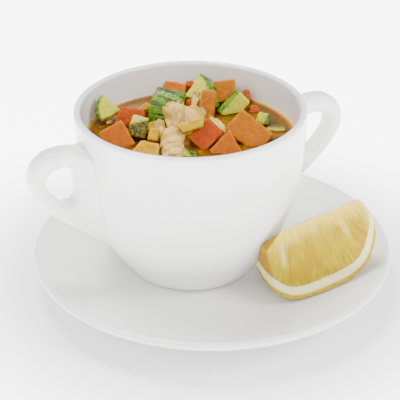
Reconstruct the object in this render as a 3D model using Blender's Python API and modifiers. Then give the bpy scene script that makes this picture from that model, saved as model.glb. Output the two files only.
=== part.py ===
"""A two-handled porcelain soup cup on its saucer, filled with chunky vegetable soup, with a lemon wedge.

Metres, +Z up. The origin is the centre of the saucer's underside, and the front is -Y.
Each piece of vegetable is placed from the cup's axis and the broth's surface.
"""

import math
import random

import bmesh
import bpy
from mathutils import Matrix, Vector
from mathutils.bvhtree import BVHTree

GAP = 0.0003  # kept between touching pieces
TURNED_STEPS = 48

# Saucer: a flat floor that sweeps up into a raised, rounded edge, on a foot ring
SAUCER_RADIUS = 0.0836
SAUCER_HEIGHT = 0.0186
SAUCER_THICKNESS = 0.0036
SAUCER_FLOOR_TOP = 0.0057
SAUCER_FLOOR_RADIUS = 0.036
SAUCER_SWEEP = 1.7
SAUCER_FOOT_RADIUS = 0.046
SAUCER_FOOT_WIDTH = 0.0045

# Cup: it stands left of the saucer's middle, which leaves room for the lemon
CUP_X = -0.0096
CUP_Y = 0.0054
CUP_BASE = SAUCER_FLOOR_TOP + GAP
CUP_HEIGHT = 0.0800
CUP_RIM_RADIUS = 0.0527
CUP_FOOT_RADIUS = 0.0295
CUP_FOOT_WIDTH = 0.0035
CUP_FOOT_DEPTH = 0.0014
CUP_WALL = 0.0033
CUP_FLOOR = 0.0052
CUP_FLARE = 0.0025  # straight widening of the wall, besides its round belly
CUP_BELLY = 3.1  # the higher, the rounder low down and the straighter near the rim
EAR_ANGLE = 26  # degrees from +X: the right ear points back, the left one forward
EAR_HALF_WIDTH = 0.0050
EAR_ROUND = 0.0034
EAR_ROOT_HALF_WIDTH = 0.0094

# Soup
BROTH_TOP = 0.0710
CUTTER_REACH = 0.0004  # how far a pocket stands off the piece that it holds
EDGE_ROUND = 0.0008

# Lemon wedge: part of a lemon turned about a lying axis, resting on its rind
LEMON_AT = (0.0430, -0.02185, 0.0428)
LEMON_HEADING = 22.8
LEMON_RISE = 11.4
LEMON_TURN = 2.6
LEMON_RADIUS = 0.0346
LEMON_HALF_LENGTH = 0.0321
LEMON_BOXINESS = 0.64  # 1 is an ellipse, less is blunter ends
LEMON_END_BOXINESS = 0.56
LEMON_DIMPLE = 0.0065
LEMON_SPREAD = 48
LEMON_CUT = 0.0232
LEMON_CUT_SLANT = 0.08
LEMON_CORE_CUT = 0.0140
LEMON_CORE_SLANT = 1.62

PORCELAIN = (0.86, 0.86, 0.84)
BROTH = (0.42, 0.20, 0.04)
SQUASH = (0.90, 0.33, 0.02)
CARROT = (0.80, 0.20, 0.02)
COURGETTE = (0.30, 0.46, 0.06)
PEPPER = (0.85, 0.60, 0.04)
ONION = (0.88, 0.70, 0.42)
LEMON = (0.92, 0.68, 0.05)


def clear_scene():
    for thing in list(bpy.data.objects):
        bpy.data.objects.remove(thing, do_unlink=True)


def collection(name):
    made = bpy.data.collections.new(name)
    bpy.context.scene.collection.children.link(made)
    return made


def material(name, color, roughness):
    made = bpy.data.materials.new(name)
    made.use_nodes = True
    shader = made.node_tree.nodes["Principled BSDF"]
    shader.inputs["Base Color"].default_value = (*color, 1)
    shader.inputs["Roughness"].default_value = roughness
    return made


def add_object(name, mesh, home, finish=None):
    made = bpy.data.objects.new(name, mesh)
    home.objects.link(made)
    if finish:
        mesh.materials.clear()
        mesh.materials.append(finish)
    return made


def as_helper(thing):
    thing.hide_render = True
    thing.display_type = "WIRE"
    return thing


def boolean(thing, operation, other):
    step = thing.modifiers.new(f"{operation.lower()}_{other.name}", "BOOLEAN")
    step.operation = operation
    step.object = other


def turned(name, profile, home, finish=None):
    """A body turned about Z from (radius, height) points that run down its outer side."""
    mesh = bpy.data.meshes.new(name)
    points = [(radius, 0, height) for radius, height in profile]
    mesh.from_pydata(points, [(i, i + 1) for i in range(len(points) - 1)], [])
    made = add_object(name, mesh, home, finish)
    screw = made.modifiers.new("turn", "SCREW")
    screw.steps = TURNED_STEPS
    screw.render_steps = TURNED_STEPS
    screw.use_merge_vertices = True
    screw.merge_threshold = 0.00001
    screw.use_smooth_shade = True
    return made


def arc(center, radius, start, end, count):
    """Points of a round stretch from one angle to another, in degrees."""
    turns = [math.radians(start + (end - start) * i / count) for i in range(count + 1)]
    return [(center[0] + radius * math.cos(a), center[1] + radius * math.sin(a)) for a in turns]


# Saucer


def saucer_top(radius):
    """Height of the saucer's upper face at a distance from its middle."""
    share = max(0, (radius - SAUCER_FLOOR_RADIUS) / (SAUCER_RADIUS - SAUCER_FLOOR_RADIUS))
    return SAUCER_FLOOR_TOP + (SAUCER_HEIGHT - SAUCER_FLOOR_TOP) * share**SAUCER_SWEEP


def make_saucer(home, porcelain):
    lip = SAUCER_THICKNESS / 2
    edge = SAUCER_RADIUS - lip
    steps = 7
    sweep = [SAUCER_FLOOR_RADIUS + (edge - SAUCER_FLOOR_RADIUS) * i / steps for i in range(steps + 1)]
    foot_outside = SAUCER_FOOT_RADIUS
    foot_inside = SAUCER_FOOT_RADIUS - SAUCER_FOOT_WIDTH
    foot_round = 0.0008
    profile = [(0, SAUCER_FLOOR_TOP)]
    profile += [(radius, saucer_top(radius)) for radius in sweep[:-1]]
    profile += arc((edge, saucer_top(edge) - lip), lip, 90, -90, 4)
    profile += [(r, saucer_top(r) - SAUCER_THICKNESS) for r in reversed(sweep[2:-1])]
    profile += [(foot_outside + foot_round, saucer_top(foot_outside) - SAUCER_THICKNESS)]
    profile += [(foot_outside, foot_round), (foot_outside - foot_round, 0)]
    profile += [(foot_inside + foot_round, 0), (foot_inside, foot_round)]
    profile += [(foot_inside - foot_round, SAUCER_FLOOR_TOP - SAUCER_THICKNESS)]
    profile += [(0, SAUCER_FLOOR_TOP - SAUCER_THICKNESS)]
    turned("saucer", profile, home, porcelain)


# Cup


def cup_radius(height):
    """Outer radius of the cup's wall at a height above the table."""
    share = min(1, max(0, (height - CUP_BASE) / CUP_HEIGHT))
    belly = CUP_RIM_RADIUS - CUP_FOOT_RADIUS - CUP_FLARE
    return CUP_FOOT_RADIUS + CUP_FLARE * share + belly * (1 - (1 - share) ** CUP_BELLY)


def wall_heights(low, high, count):
    """Heights that stand closer together low down, where the wall curves most."""
    return [low + (high - low) * (i / count) ** 1.5 for i in range(count + 1)]


def cup_inside(low, high, count, clearance=0):
    """(radius, height) points up the inner wall, drawn in by a clearance."""
    return [(cup_radius(z) - CUP_WALL - clearance, z) for z in wall_heights(low, high, count)]


def ear_outline():
    """The ear's outer edge and its hole, as (distance from the axis, height) knots."""
    root = [(0.0320, 0.0200), (0.0320, 0.0360), (0.0370, 0.0540), (0.0420, 0.0700)]
    outside = [
        (0.0490, 0.0748),
        (0.0565, 0.0780),
        (0.0650, 0.0790),
        (0.0728, 0.0768),
        (0.0778, 0.0704),
        (0.0785, 0.0622),
        (0.0745, 0.0540),
        (0.0668, 0.0460),
        (0.0565, 0.0366),
        (0.0460, 0.0283),
    ]
    hole = [
        (0.0590, 0.0688),
        (0.0650, 0.0702),
        (0.0702, 0.0672),
        (0.0704, 0.0622),
        (0.0665, 0.0563),
        (0.0610, 0.0522),
        (0.0578, 0.0545),
        (0.0576, 0.0620),
    ]
    return root + outside, hole


def ear_half_width(distance, height):
    """Wide where the ear grows out of the wall, slim at its tip and at its tail."""
    from_wall = distance - cup_radius(height)
    root = min(1, max(0, 1 - from_wall / 0.009)) ** 2
    tail = min(1, max(0.25, (height - 0.021) / 0.024))
    return (EAR_HALF_WIDTH + (EAR_ROOT_HALF_WIDTH - EAR_HALF_WIDTH) * root) * tail


def flat_outline(name, outlines, half_thickness, rounding, home):
    """A mesh cut from closed smooth outlines, with rounded edges; the second outline is a hole."""
    curve = bpy.data.curves.new(name, "CURVE")
    curve.dimensions = "2D"
    curve.fill_mode = "BOTH"
    curve.extrude = half_thickness - rounding
    curve.bevel_depth = rounding
    curve.bevel_resolution = 1
    curve.offset = -rounding
    for knots in outlines:
        spline = curve.splines.new("BEZIER")
        spline.bezier_points.add(len(knots) - 1)
        spline.use_cyclic_u = True
        spline.resolution_u = 3
        for point, (x, y) in zip(spline.bezier_points, knots):
            point.co = (x, y, 0)
            point.handle_left_type = "AUTO"
            point.handle_right_type = "AUTO"
    drawn = bpy.data.objects.new(name + "_curve", curve)
    home.objects.link(drawn)
    bpy.context.view_layer.update()
    graph = bpy.context.evaluated_depsgraph_get()
    mesh = bpy.data.meshes.new_from_object(drawn.evaluated_get(graph))
    bpy.data.objects.remove(drawn, do_unlink=True)
    shape = bmesh.new()
    shape.from_mesh(mesh)
    bmesh.ops.remove_doubles(shape, verts=shape.verts, dist=0.00001)
    bmesh.ops.recalc_face_normals(shape, faces=shape.faces)
    shape.to_mesh(mesh)
    shape.free()
    return mesh


def make_core(helpers):
    """What is inside the middle of the cup's wall: an ear ends there."""
    side = cup_inside(CUP_BASE + CUP_FLOOR / 2, CUP_BASE + CUP_HEIGHT, 7, -CUP_WALL / 2)
    core = turned("cup_core", [(0, side[-1][1]), *side[::-1], (0, side[0][1])], helpers)
    core.location = (CUP_X, CUP_Y, 0)
    return as_helper(core)


def make_ear(name, heading, core, helpers):
    mesh = flat_outline(name, ear_outline(), EAR_HALF_WIDTH, EAR_ROUND, helpers)
    for vertex in mesh.vertices:
        vertex.co.z *= ear_half_width(vertex.co.x, vertex.co.y) / EAR_HALF_WIDTH
    upright = Matrix.Rotation(math.radians(90), 4, "X")
    mesh.transform(Matrix.Rotation(math.radians(heading), 4, "Z") @ upright)
    ear = as_helper(add_object(name, mesh, helpers))
    ear.location = (CUP_X, CUP_Y, 0)
    boolean(ear, "DIFFERENCE", core)
    return ear


def make_cup(home, helpers, porcelain):
    lip = CUP_WALL / 2
    rim = CUP_BASE + CUP_HEIGHT - lip
    floor = CUP_BASE + CUP_FLOOR
    inside = cup_inside(floor + 0.004, rim, 7)
    corner = inside[0][0] - 0.0055
    foot_round = 0.0008
    recess = CUP_FOOT_RADIUS - CUP_FOOT_WIDTH
    profile = [(0, floor), (corner, floor), (inside[0][0] - 0.0015, floor + 0.0016)]
    profile += inside[:-1]
    profile += arc((cup_radius(rim) - lip, rim), lip, 180, 0, 4)
    profile += [(cup_radius(z), z) for z in reversed(wall_heights(CUP_BASE + foot_round, rim, 9)[:-1])]
    profile += [(CUP_FOOT_RADIUS - foot_round, CUP_BASE), (recess + foot_round, CUP_BASE)]
    profile += [(recess - foot_round, CUP_BASE + CUP_FOOT_DEPTH), (0, CUP_BASE + CUP_FOOT_DEPTH)]
    cup = turned("cup", profile, home, porcelain)
    cup.location = (CUP_X, CUP_Y, 0)
    core = make_core(helpers)
    boolean(cup, "UNION", make_ear("ear_right", EAR_ANGLE, core, helpers))
    boolean(cup, "UNION", make_ear("ear_left", EAR_ANGLE + 180, core, helpers))


# Pieces of vegetable: each is set by the middle of the face that shows


def placed(at, spin, lean, heading):
    """Spin turns a piece on its own face, lean tips the face to the front, heading swings it round."""
    turns = Matrix.Rotation(math.radians(heading), 4, "Z") @ Matrix.Rotation(math.radians(lean), 4, "X")
    turns = turns @ Matrix.Rotation(math.radians(spin), 4, "Z")
    return Matrix.Translation(Vector((CUP_X, CUP_Y, BROTH_TOP)) + Vector(at)) @ turns


def pushed_out(outline, reach):
    """A convex outline moved outward on every side."""
    moved = []
    for i, point in enumerate(outline):
        before = (point - outline[i - 1]).normalized()
        after = (outline[(i + 1) % len(outline)] - point).normalized()
        outward = Vector((before.y + after.y, -before.x - after.x)).normalized()
        moved.append(point + outward * reach / max(0.4, outward.dot(Vector((after.y, -after.x)))))
    return moved


def prism(name, outline, depth, home, reach=0, back=1.0):
    """A solid with a flat outline in front and the same outline, a little smaller, behind."""
    middle = sum(outline, Vector((0, 0))) / len(outline)
    front = pushed_out(outline, reach)
    rear = pushed_out([middle + (point - middle) * back for point in outline], reach)
    shape = bmesh.new()
    ring = bmesh.ops.create_circle(shape, cap_ends=True, segments=len(front), radius=1)["verts"]
    for vertex, point in zip(ring, front):
        vertex.co = (point.x, point.y, reach)
    face = shape.faces[:]
    made = bmesh.ops.extrude_face_region(shape, geom=face)["geom"]
    behind = [item for item in made if isinstance(item, bmesh.types.BMVert)]
    for vertex in behind:
        nearest = min(range(len(front)), key=lambda i: (Vector(vertex.co[:2]) - front[i]).length)
        vertex.co = (rear[nearest].x, rear[nearest].y, -depth - reach)
    bmesh.ops.recalc_face_normals(shape, faces=shape.faces)
    mesh = bpy.data.meshes.new(name)
    shape.to_mesh(mesh)
    shape.free()
    return add_object(name, mesh, home)


def dice_outline(name, width, height, taper=1.0, skew=0.0):
    """Four uneven corners; taper is the top's width over the bottom's, skew leans the sides over."""
    uneven = random.Random(name)
    corners = []
    for side, level in ((-1, -1), (1, -1), (1, 1), (-1, 1)):
        across = width if level < 0 else width * taper
        x = side * across / 2 + skew * level * height / 2
        corners.append(Vector((x + uneven.uniform(-0.0004, 0.0004), level * height / 2)))
    return corners


def wedge_outline(radius, spread):
    """A slice of a round vegetable: its core at the origin, its skin an arc above it."""
    steps = max(3, round(spread / 14))
    skin = arc((0, 0), radius, 90 - spread / 2, 90 + spread / 2, steps)
    return [Vector((0, 0))] + [Vector(point) for point in skin]


def petal(name, size, thickness, bend, ripple, wave, home, reach=0):
    """A thin curved sheet: bend is the height of its arch, ripple that of its waves."""
    width, length = size
    shape = bmesh.new()
    bmesh.ops.create_grid(shape, x_segments=6, y_segments=6, size=0.5)
    for vertex in shape.verts:
        across, along = vertex.co.x * 2, vertex.co.y * 2
        ragged = 1 + 0.05 * math.sin(3.1 * along + wave) + 0.04 * math.sin(5.3 * across + wave)
        x = across * (width / 2 * (1 - 0.08 * along * along) * ragged + reach)
        y = along * (length / 2 * (1 - 0.06 * across * across) + reach)
        u, v = 2 * x / width, 2 * y / length
        z = ripple * math.sin(3.6 * v + 1.9 * u + wave) - bend * (u * u + 0.35 * v * v)
        vertex.co = (x, y, z)
    bmesh.ops.triangulate(shape, faces=shape.faces)
    mesh = bpy.data.meshes.new(name)
    shape.to_mesh(mesh)
    shape.free()
    made = add_object(name, mesh, home)
    shell = made.modifiers.new("thickness", "SOLIDIFY")
    shell.thickness = thickness + 2 * reach
    shell.offset = 0
    shell.use_even_offset = True
    return made


def surface(thing):
    """The evaluated surface in world space, for finding which pieces meet."""
    bpy.context.view_layer.update()
    graph = bpy.context.evaluated_depsgraph_get()
    shape = bmesh.new()
    shape.from_object(thing, graph)
    shape.transform(thing.matrix_world)
    tree = BVHTree.FromBMesh(shape)
    shape.free()
    return tree


def add_piece(name, build, pose, home, helpers, finish, rounding=EDGE_ROUND):
    """The piece, and a slightly larger copy that makes room for it in what it touches."""
    piece = build(name, home, 0)
    piece.data.materials.append(finish)
    if rounding:
        edges = piece.modifiers.new("edges", "BEVEL")
        edges.width = rounding
        edges.segments = 2
        edges.limit_method = "ANGLE"
        edges.angle_limit = math.radians(32)
    room = as_helper(build("room_" + name, helpers, CUTTER_REACH))
    for thing in (piece, room):
        thing.matrix_world = pose
    return piece, room


# name, material, (width, height, depth), taper, skew, (x, y, z), spin, lean, heading
DICE = [
    ("squash_right", "squash", (18.8, 12.8, 10.5), 1.0, 0.0, (26.2, -7.3, 5.6), -40, 51, 0),
    ("squash_front_right", "squash", (12.9, 12.8, 10.0), 1.0, -0.34, (15.9, -18.4, 1.0), -62, 52, 0),
    ("squash_front_left", "squash", (12.7, 12.6, 10.5), 1.0, 0.0, (-33.0, -10.0, 3.7), -60, 55, 0),
    ("squash_back", "squash", (10.2, 10.4, 12.0), 1.05, 0.0, (16.0, 29.8, 8.7), 6, 58, 0),
    ("squash_back_left", "squash", (11.8, 6.2, 16.0), 0.9, 0.15, (-7.9, 29.0, 11.0), -12, 42, 0),
    ("carrot_stick", "squash", (7.0, 20.0, 6.4), 0.95, 0.0, (6.7, 4.8, 9.9), -3, 62, -14),
    ("carrot_front", "carrot", (10.8, 12.8, 8.0), 1.0, 0.0, (6.5, -10.6, 5.8), -45, 52, 0),
    ("carrot_left", "carrot", (15.6, 9.0, 9.0), 0.75, 0.0, (-27.4, 9.8, 4.8), -3, 60, -10),
    ("carrot_middle", "carrot", (6.0, 5.4, 13.0), 0.8, 0.0, (0.2, 13.6, 9.8), 0, 40, 0),
    ("carrot_back", "carrot", (4.8, 3.6, 15.0), 0.9, 0.0, (-0.4, 33.0, 11.4), 6, 34, 0),
    ("carrot_sliver", "carrot", (3.6, 6.0, 4.5), 0.85, 0.0, (27.0, 34.6, 4.2), 4, 60, 0),
    ("carrot_chip", "carrot", (5.2, 4.2, 4.5), 0.8, 0.0, (30.2, 24.6, 1.9), 5, 45, 0),
    ("squash_front", "squash", (13.0, 6.6, 8.5), 0.62, 0.2, (-19.0, -18.4, 3.1), -12, 45, 0),
    ("pepper_strip", "pepper", (10.2, 4.8, 4.0), 1.25, 0.1, (0.5, -10.6, 10.6), 19, 42, 0),
    ("pepper_left", "pepper", (5.2, 6.0, 7.0), 0.9, 0.0, (-16.4, -9.2, 5.6), -8, 48, 0),
    ("pepper_bit", "pepper", (4.6, 3.8, 7.0), 0.8, 0.0, (-17.9, -0.4, 5.4), 20, 50, 0),
    ("pepper_back_left", "pepper", (7.4, 3.6, 9.0), 0.7, 0.0, (-21.8, 17.6, 5.8), 34, 48, 0),
    ("celery_left", "courgette", (9.4, 9.8, 8.0), 0.8, 0.0, (-23.4, -4.4, 6.8), -18, 58, 6),
    ("courgette_bit_right", "courgette", (7.2, 5.6, 7.0), 0.75, 0.0, (33.4, 9.8, 3.9), -16, 58, 0),
    ("courgette_float", "courgette", (9.0, 5.4, 3.4), 0.9, 0.0, (39.0, 5.4, 0.6), 4, 14, 0),
    ("courgette_front", "courgette", (7.4, 3.6, 5.0), 0.8, 0.0, (-0.2, -20.8, 1.3), -14, 50, 0),
]

# name, (radius, spread, length), (x, y, z) of the core's corner, spin, lean, heading
WEDGES = [
    ("courgette_slice_left", (12.6, 66, 4.2), (-31.4, 16.4, 5.0), 67, 47, 30),
    ("courgette_block", (13.0, 100, 14.5), (-2.6, 17.6, 1.4), 54, 96, 72),
    ("courgette_top", (13.5, 74, 13.0), (-3.2, 25.0, 8.2), -56, 55, -30),
    ("courgette_wedge", (10.0, 88, 14.0), (28.6, 27.0, 3.8), -50, 49, 119),
]

# name, (width, length), thickness, bend, ripple, (x, y, z), spin, lean, heading
PETALS = [
    ("onion_upper", (10.0, 14.4), 2.0, 0.9, 0.4, (-6.4, 5.0, 7.0), 12, 60, 0),
    ("onion_right", (10.4, 14.0), 2.0, 0.8, 0.4, (1.4, 2.2, 6.0), -10, 60, 0),
    ("onion_lower", (9.6, 12.6), 2.0, 1.0, 0.5, (-7.6, -12.4, 4.8), -14, 60, 0),
    ("onion_left", (5.4, 9.4), 1.6, 0.4, 0.3, (-14.0, -1.4, 3.6), 14, 62, 0),
    ("onion_front", (9.2, 8.0), 2.2, 0.6, 0.4, (-7.4, -19.8, 2.4), -4, 50, 0),
    ("onion_on_carrot", (9.4, 3.6), 1.3, 0.4, 0.3, (12.2, -6.6, 8.9), -40, 48, 0),
    ("onion_shred", (3.2, 10.0), 1.6, 0.3, 0.5, (2.4, 9.4, 13.4), -10, 62, 0),
]


def millimetres(values):
    return tuple(value / 1000 for value in values)


def make_pieces(home, helpers, finishes):
    made = []
    for name, food, size, taper, skew, at, spin, lean, heading in DICE:
        width, height, depth = millimetres(size)

        def build(label, where, reach, outline=dice_outline(name, width, height, taper, skew), deep=depth):
            return prism(label, outline, deep, where, reach, back=0.9)

        pose = placed(millimetres(at), spin, lean, heading)
        made.append(add_piece(name, build, pose, home, helpers, finishes[food]))
    for name, size, at, spin, lean, heading in WEDGES:
        radius, spread, depth = size[0] / 1000, size[1], size[2] / 1000

        def build(label, where, reach, outline=wedge_outline(radius, spread), deep=depth):
            return prism(label, outline, deep, where, reach)

        pose = placed(millimetres(at), spin, lean, heading)
        made.append(add_piece(name, build, pose, home, helpers, finishes["courgette"]))
    for name, size, thickness, bend, ripple, at, spin, lean, heading in PETALS:
        wave = random.Random(name).uniform(0, math.tau)
        sheet = (millimetres(size), thickness / 1000, bend / 1000, ripple / 1000, wave)

        def build(label, where, reach, sheet=sheet):
            return petal(label, *sheet, where, reach)

        pose = placed(millimetres(at), spin, lean, heading)
        made.append(add_piece(name, build, pose, home, helpers, finishes["onion"], rounding=0))
    return made


def make_room(made):
    """Cuts each piece clear of the ones before it in the lists."""
    rooms = [surface(room) for _, room in made]
    for i, (piece, _) in enumerate(made):
        for j in range(i):
            if rooms[j].overlap(rooms[i]):
                boolean(piece, "DIFFERENCE", made[j][1])


def make_broth(made, home, finish):
    floor = CUP_BASE + CUP_FLOOR + GAP
    side = cup_inside(floor + 0.004, BROTH_TOP, 6, GAP)
    profile = [(0, BROTH_TOP)] + side[::-1]
    profile += [(side[0][0] - 0.0015 - GAP, floor + 0.0017), (side[0][0] - 0.0060, floor), (0, floor)]
    broth = turned("broth", profile, home, finish)
    broth.location = (CUP_X, CUP_Y, 0)
    for _, room in made:
        boolean(broth, "DIFFERENCE", room)


# Lemon


def lemon_profile():
    """Half the outline of the whole lemon, from its dimpled end down to the other end."""
    points = []
    for step in range(17):
        turn = math.pi * step / 16
        radius = LEMON_RADIUS * math.sin(turn)
        boxiness = LEMON_BOXINESS if step < 8 else LEMON_END_BOXINESS
        along = LEMON_HALF_LENGTH * math.copysign(abs(math.cos(turn)) ** boxiness, math.cos(turn))
        near_tip = max(0, 1 - radius / (0.6 * LEMON_RADIUS))
        points.append((radius, along - LEMON_DIMPLE * near_tip**2 * (along > 0)))
    points[0] = (0, points[0][1])
    points[-1] = (0, points[-1][1])
    return points


def make_lemon(home, helpers, finish):
    lemon = turned("lemon_wedge", lemon_profile(), home, finish)
    far = 2 * LEMON_RADIUS
    half = math.radians(LEMON_SPREAD / 2)
    corners = [(0, 0), (far, -far * math.tan(half)), (far, far * math.tan(half))]
    lying = Matrix.Rotation(math.radians(LEMON_HEADING), 4, "Z")
    lying = lying @ Matrix.Rotation(math.radians(90 - LEMON_RISE), 4, "Y")
    lying = lying @ Matrix.Rotation(math.radians(LEMON_TURN), 4, "Z")
    lemon.matrix_world = Matrix.Translation(LEMON_AT) @ lying
    # the end is cut square, with a second cut across its core
    for cut, slant in ((LEMON_CUT, LEMON_CUT_SLANT), (LEMON_CORE_CUT, LEMON_CORE_SLANT)):
        slice_ = as_helper(prism("lemon_slice", [Vector(corner) for corner in corners], 3 * far, helpers))
        slanted = Matrix.Shear("YZ", 4, (0, -slant))
        raised = Matrix.Translation((0, 0, 3 * far))
        slice_.data.transform(Matrix.Translation((0, 0, -cut)) @ slanted @ raised)
        slice_.matrix_world = lemon.matrix_world
        boolean(lemon, "INTERSECT", slice_)


def main():
    clear_scene()
    home = collection("soup_cup")
    helpers = collection("helpers")
    porcelain = material("porcelain", PORCELAIN, 0.2)
    finishes = {
        "squash": material("squash", SQUASH, 0.45),
        "carrot": material("carrot", CARROT, 0.45),
        "courgette": material("courgette", COURGETTE, 0.45),
        "pepper": material("pepper", PEPPER, 0.4),
        "onion": material("onion", ONION, 0.4),
    }
    make_saucer(home, porcelain)
    make_cup(home, helpers, porcelain)
    made = make_pieces(home, helpers, finishes)
    make_room(made)
    make_broth(made, home, material("broth", BROTH, 0.15))
    make_lemon(home, helpers, material("lemon", LEMON, 0.5))


main()
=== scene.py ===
"""The soup cup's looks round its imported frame: glazed porcelain, broth and vegetables, and a lemon wedge."""

import math
import random

import bmesh
import bpy
import numpy as np
from mathutils import Matrix, Vector
from mathutils.bvhtree import BVHTree


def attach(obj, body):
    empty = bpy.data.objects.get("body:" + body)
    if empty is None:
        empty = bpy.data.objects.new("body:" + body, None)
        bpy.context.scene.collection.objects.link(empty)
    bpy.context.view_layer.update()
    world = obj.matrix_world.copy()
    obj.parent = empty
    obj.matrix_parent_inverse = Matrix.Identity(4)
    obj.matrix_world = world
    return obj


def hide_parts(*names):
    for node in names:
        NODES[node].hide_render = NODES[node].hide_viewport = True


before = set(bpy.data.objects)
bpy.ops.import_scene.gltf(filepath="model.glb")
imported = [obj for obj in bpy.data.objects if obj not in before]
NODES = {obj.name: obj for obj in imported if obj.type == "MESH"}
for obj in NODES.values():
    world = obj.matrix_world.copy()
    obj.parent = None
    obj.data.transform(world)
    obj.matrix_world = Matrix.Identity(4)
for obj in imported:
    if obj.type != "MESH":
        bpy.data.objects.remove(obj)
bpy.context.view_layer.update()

# The same sizes as the solids, in metres; angles are in degrees
SAUCER_RADIUS = 0.0836
SAUCER_HEIGHT = 0.0186
SAUCER_THICKNESS = 0.0036
SAUCER_FLOOR_TOP = 0.0057
SAUCER_FLOOR_RADIUS = 0.036
SAUCER_SWEEP = 1.7
SAUCER_FOOT_RADIUS = 0.046
SAUCER_FOOT_WIDTH = 0.0045
CUP_X = -0.0096
CUP_Y = 0.0054
CUP_BASE = 0.0060
CUP_HEIGHT = 0.0800
CUP_RIM_RADIUS = 0.0527
CUP_FOOT_RADIUS = 0.0295
CUP_FOOT_WIDTH = 0.0035
CUP_FOOT_DEPTH = 0.0014
CUP_WALL = 0.0033
CUP_FLOOR = 0.0052
CUP_FLARE = 0.0025
CUP_BELLY = 3.1
EAR_ANGLE = 26
EAR_HALF_WIDTH = 0.0050
EAR_ROUND = 0.0034
EAR_ROOT_HALF_WIDTH = 0.0094
BROTH_TOP = 0.0710
GAP = 0.0003
CUP_AXIS = Vector((CUP_X, CUP_Y, 0))

# The camera as fitted to the photograph: place in metres, angles in degrees, lens and sensor in millimetres
CAMERA_AT = Vector((-0.00547, -0.52533, 0.33335))
CAMERA_DOWN = 29.145
CAMERA_ROLL = -0.3
LENS = 117
SENSOR = 36
PHOTO_PIXELS = 400

# The lemon as in the solids: place and sizes in metres, angles in degrees
LEMON_AT = (0.0430, -0.02185, 0.0428)
LEMON_HEADING = 22.8
LEMON_RISE = 11.4
LEMON_TURN = 2.6
LEMON_RADIUS = 0.0346
LEMON_HALF_LENGTH = 0.0321
LEMON_BOXINESS = 0.64
LEMON_END_BOXINESS = 0.56
LEMON_CUT = 0.0232
LEMON_CUT_SLANT = 0.08
LEMON_CORE_CUT = 0.0140
LEMON_CORE_SLANT = 1.62

# How finely the pieces are meshed, in metres
VEGETABLE_VOXEL = 0.00034
EAR_VOXEL = 0.0005
LEMON_VOXEL = 0.00040
LEAF_GRID = 0.00026
PORCELAIN_STEPS = 240
BROTH_STEPS = 300

# rounding of the foot rings
FOOT_ROUND = 0.0008
# how far an onion leaf may stand outside its solid
LEAF_OUTSIDE = 0.00025
# how far the broth looks for a piece that sticks out of it
BROTH_SEARCH = 0.01
# how high it climbs there and at the wall, and how far that reaches
BROTH_CLIMB = 0.0005
BROTH_WALL_CLIMB = 0.00045
BROTH_CLIMB_REACH = 0.0006
# the colour of the broth at the wall: reach of the painted highlight along its edge, and place and width of
# the band of painted shade
BROTH_HIGHLIGHT_REACH = 0.0009
BROTH_SHADE_BAND = 0.0034
BROTH_SHADE_BAND_WIDTH = 0.0014
# reach of the shade round the pieces
BROTH_SHADE_REACH = 0.0020


# Materials


class Paint:
    """A Principled material whose inputs come from procedural nodes."""

    def __init__(self, name, **inputs):
        self.material = bpy.data.materials.new(name)
        self.material.use_nodes = True
        self.tree = self.material.node_tree
        self.shader = self.tree.nodes["Principled BSDF"]
        for key, value in inputs.items():
            self.shader.inputs[key.replace("_", " ")].default_value = value

    def node(self, kind, **inputs):
        made = self.tree.nodes.new(kind)
        for key, value in inputs.items():
            slot = made.inputs[key]
            if isinstance(value, bpy.types.NodeSocket):
                self.tree.links.new(value, slot)
            else:
                slot.default_value = value
        return made

    def place(self, stretch=(1, 1, 1), attribute="place"):
        """A piece's own coordinates in millimetres."""
        source = self.node("ShaderNodeAttribute")
        source.attribute_name = attribute
        return self.node("ShaderNodeMapping", Vector=source.outputs["Vector"], Scale=stretch).outputs[0]

    def value(self, name):
        source = self.node("ShaderNodeAttribute")
        source.attribute_name = name
        return source.outputs["Fac"]

    def noise(self, size, where, detail=3.0, distortion=0.0):
        made = self.node("ShaderNodeTexNoise", Vector=where, Scale=1 / size)
        made.inputs["Detail"].default_value = detail
        made.inputs["Roughness"].default_value = 0.55
        made.inputs["Distortion"].default_value = distortion
        return made.outputs["Fac"]

    def cells(self, size, where):
        made = self.tree.nodes.new("ShaderNodeTexVoronoi")
        made.inputs["Scale"].default_value = 1 / size
        self.tree.links.new(where, made.inputs["Vector"])
        return made.outputs["Distance"]

    def ramp(self, value, *stops):
        made = self.node("ShaderNodeValToRGB", Fac=value)
        made.color_ramp.interpolation = "EASE"
        while len(made.color_ramp.elements) < len(stops):
            made.color_ramp.elements.new(0.5)
        for element, (position, color) in zip(made.color_ramp.elements, stops):
            element.position = position
            element.color = (*color, 1) if isinstance(color, tuple) else (color, color, color, 1)
        return made.outputs["Color"]

    def mix(self, share, first, second):
        made = self.tree.nodes.new("ShaderNodeMix")
        made.data_type = "RGBA"
        for slot, value in ((0, share), (6, first), (7, second)):
            if isinstance(value, bpy.types.NodeSocket):
                self.tree.links.new(value, made.inputs[slot])
            else:
                made.inputs[slot].default_value = (*value, 1) if isinstance(value, tuple) else value
        return made.outputs[2]

    def math(self, operation, first, second=0.5):
        made = self.tree.nodes.new("ShaderNodeMath")
        made.operation = operation
        for slot, value in ((0, first), (1, second)):
            if isinstance(value, bpy.types.NodeSocket):
                self.tree.links.new(value, made.inputs[slot])
            else:
                made.inputs[slot].default_value = value
        return made.outputs[0]

    def finish(self, color=None, roughness=None, height=None, depth=0.0001):
        if color:
            self.tree.links.new(color, self.shader.inputs["Base Color"])
        if roughness:
            self.tree.links.new(roughness, self.shader.inputs["Roughness"])
        if height:
            bump = self.node("ShaderNodeBump", Height=height, Distance=depth)
            self.tree.links.new(bump.outputs[0], self.shader.inputs["Normal"])
        return self.material


def glow(radius, weight):
    """Light that spreads under a soft surface, in metres."""
    return {"Subsurface_Weight": weight, "Subsurface_Radius": radius, "Subsurface_Scale": 1.0}


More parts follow.
